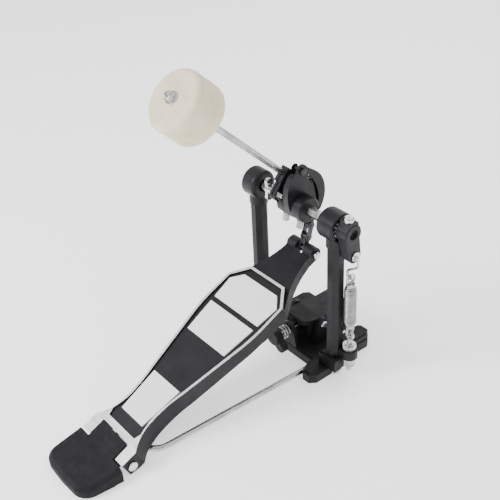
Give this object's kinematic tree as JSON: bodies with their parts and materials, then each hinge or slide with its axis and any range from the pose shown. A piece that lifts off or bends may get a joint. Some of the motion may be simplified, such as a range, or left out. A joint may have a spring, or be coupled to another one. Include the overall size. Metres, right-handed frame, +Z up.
{
  "type": "bass drum pedal",
  "caption": "Single-chain bass drum pedal with a cast footboard, a felt beater, a side return spring and a hoop clamp on a two-post base.",
  "frame": {"origin": "on the floor, directly below the middle of the axle, midway between the two posts", "axes": "+Z up, +Y from the heel towards the drum, +X to the player's right, parallel to the axle"},
  "size_m": [0.1489, 0.3495, 0.3373],
  "materials": {
    "black_cast": "satin black paint",
    "board_cast": "black paint with a polished top rim",
    "grip": "fine matt texture",
    "chrome": "polished",
    "steel": "plain",
    "rubber": "matt",
    "felt": "pressed felt",
    "plastic": "satin"
  },
  "bodies": {
    "frame": {"base_casting": "black_cast", "post_left": "black_cast", "post_right": "black_cast", "post_bolts": "steel", "hub_left": "black_cast", "hub_right": "black_cast", "bearing_left_outer_race": "steel", "bearing_left_balls": "steel", "bearing_right_outer_race": "steel", "bearing_right_balls": "steel", "heel_plate": "black_cast", "heel_rubber": "rubber", "tie_rod_frame": "chrome", "base_rubber": "rubber", "jaw_pivot_bolt": "chrome", "jaw_pivot_nut": "chrome", "tension_rod": "steel", "clamp_spring": "steel"},
    "footboard": {"footboard": "board_cast", "pad_heel": "grip", "pad_middle": "grip", "pad_toe": "grip", "heel_hinge_pin": "chrome", "toe_bolt": "chrome", "toe_nut": "chrome"},
    "axle": {"axle": "chrome", "bearing_left_inner_race": "steel", "bearing_right_inner_race": "steel", "beater_hub": "black_cast", "hub_screws": "chrome", "beater_wing_bolt": "chrome", "beater_clamp_nut": "chrome", "drive_cam": "black_cast", "chain_link_8": "steel", "chain_link_7": "steel", "chain_anchor_screw": "chrome", "spring_lever": "black_cast", "lever_screw": "chrome"},
    "beater": {"beater_rod": "chrome", "beater_felt": "felt", "beater_washer": "chrome", "beater_cap_nut": "chrome"},
    "chain_upper": {"chain_link_6": "steel"},
    "chain_middle": {"chain_link_5": "steel"},
    "chain_run": {"chain_link_4": "steel", "chain_link_3": "steel", "chain_link_2": "steel", "chain_link_1": "steel"},
    "spring": {"tension_spring": "steel", "spring_foot_hook": "steel"},
    "spring_top": {"spring_top_hook": "steel", "spring_link": "chrome", "link_washer": "chrome"},
    "tension_nuts": {"tension_nut": "steel"},
    "lock_nuts": {"lock_nut": "steel"},
    "jaw": {"clamp_jaw": "black_cast", "jaw_rubber": "rubber"},
    "knob": {"clamp_knob": "plastic", "clamp_screw": "chrome"}
  },
  "joints": [
    {"name": "footboard_hinge", "type": "hinge", "parent": "frame", "child": "footboard", "pos_m": [0, -0.23021, 0.00924], "axis": [-1, 0, 0], "range_deg": [0, 5.5], "stiffness_Nm_per_rad": 3, "springref_deg": -25.78},
    {"name": "axle_spin", "type": "hinge", "parent": "frame", "child": "axle", "pos_m": [0, 0, 0.175], "axis": [-1, 0, 0], "range_deg": [0, 49.07]},
    {"name": "chain_upper_pivot", "type": "hinge", "parent": "axle", "child": "chain_upper", "pos_m": [0, 0.01846, 0.19185], "axis": [1, 0, 0], "range_deg": [0, 15.74]},
    {"name": "chain_middle_pivot", "type": "hinge", "parent": "chain_upper", "child": "chain_middle", "pos_m": [0, 0.02436, 0.18061], "axis": [1, 0, 0], "range_deg": [0, 27.28]},
    {"name": "chain_run_pivot", "type": "hinge", "parent": "chain_middle", "child": "chain_run", "pos_m": [0, 0.02397, 0.16791], "axis": [1, 0, 0], "range_deg": [0, 18.16]},
    {"name": "spring_tilt", "type": "hinge", "parent": "frame", "child": "spring", "pos_m": [0.0704, 0.0055, 0.0562], "axis": [1, 0, 0], "range_deg": [0, 12.74]},
    {"name": "spring_stretch", "type": "slide", "parent": "spring", "child": "spring_top", "axis": [0, 0, 1], "range_m": [0, 0.00624], "deforming": ["tension_spring"]},
    {"name": "beater_height", "type": "slide", "parent": "axle", "child": "beater", "axis": [0, -0.7162, 0.6979], "range_m": [-0.03, 0.02]},
    {"name": "jaw_hinge", "type": "hinge", "parent": "frame", "child": "jaw", "pos_m": [0, 0.015, 0.033], "axis": [1, 0, 0], "range_deg": [-4, 8]},
    {"name": "knob_turn", "type": "hinge", "parent": "frame", "child": "knob", "pos_m": [0, -0.03, 0.028], "axis": [0, 1, 0], "range_deg": [-101, 202]},
    {"name": "tension_nut_turn", "type": "hinge", "parent": "frame", "child": "tension_nuts", "pos_m": [0.0704, 0.0055, 0.039], "axis": [0, 0, 1], "continuous": true},
    {"name": "lock_nut_turn", "type": "hinge", "parent": "frame", "child": "lock_nuts", "pos_m": [0.0704, 0.0055, 0.02], "axis": [0, 0, 1], "continuous": true}
  ],
  "couplings": [
    {"joint": "axle_spin", "follows": "footboard_hinge", "ratio": 8.9036},
    {"joint": "chain_upper_pivot", "follows": "footboard_hinge", "ratio": 2.8436},
    {"joint": "chain_middle_pivot", "follows": "footboard_hinge", "ratio": 4.9418},
    {"joint": "chain_run_pivot", "follows": "footboard_hinge", "ratio": 3.2836},
    {"joint": "spring_tilt", "follows": "footboard_hinge", "ratio": 2.2991},
    {"joint": "spring_stretch", "follows": "footboard_hinge", "m_per_rad": 0.064458},
    {"joint": "knob_turn", "follows": "jaw_hinge", "ratio": 25.13}
  ]
}
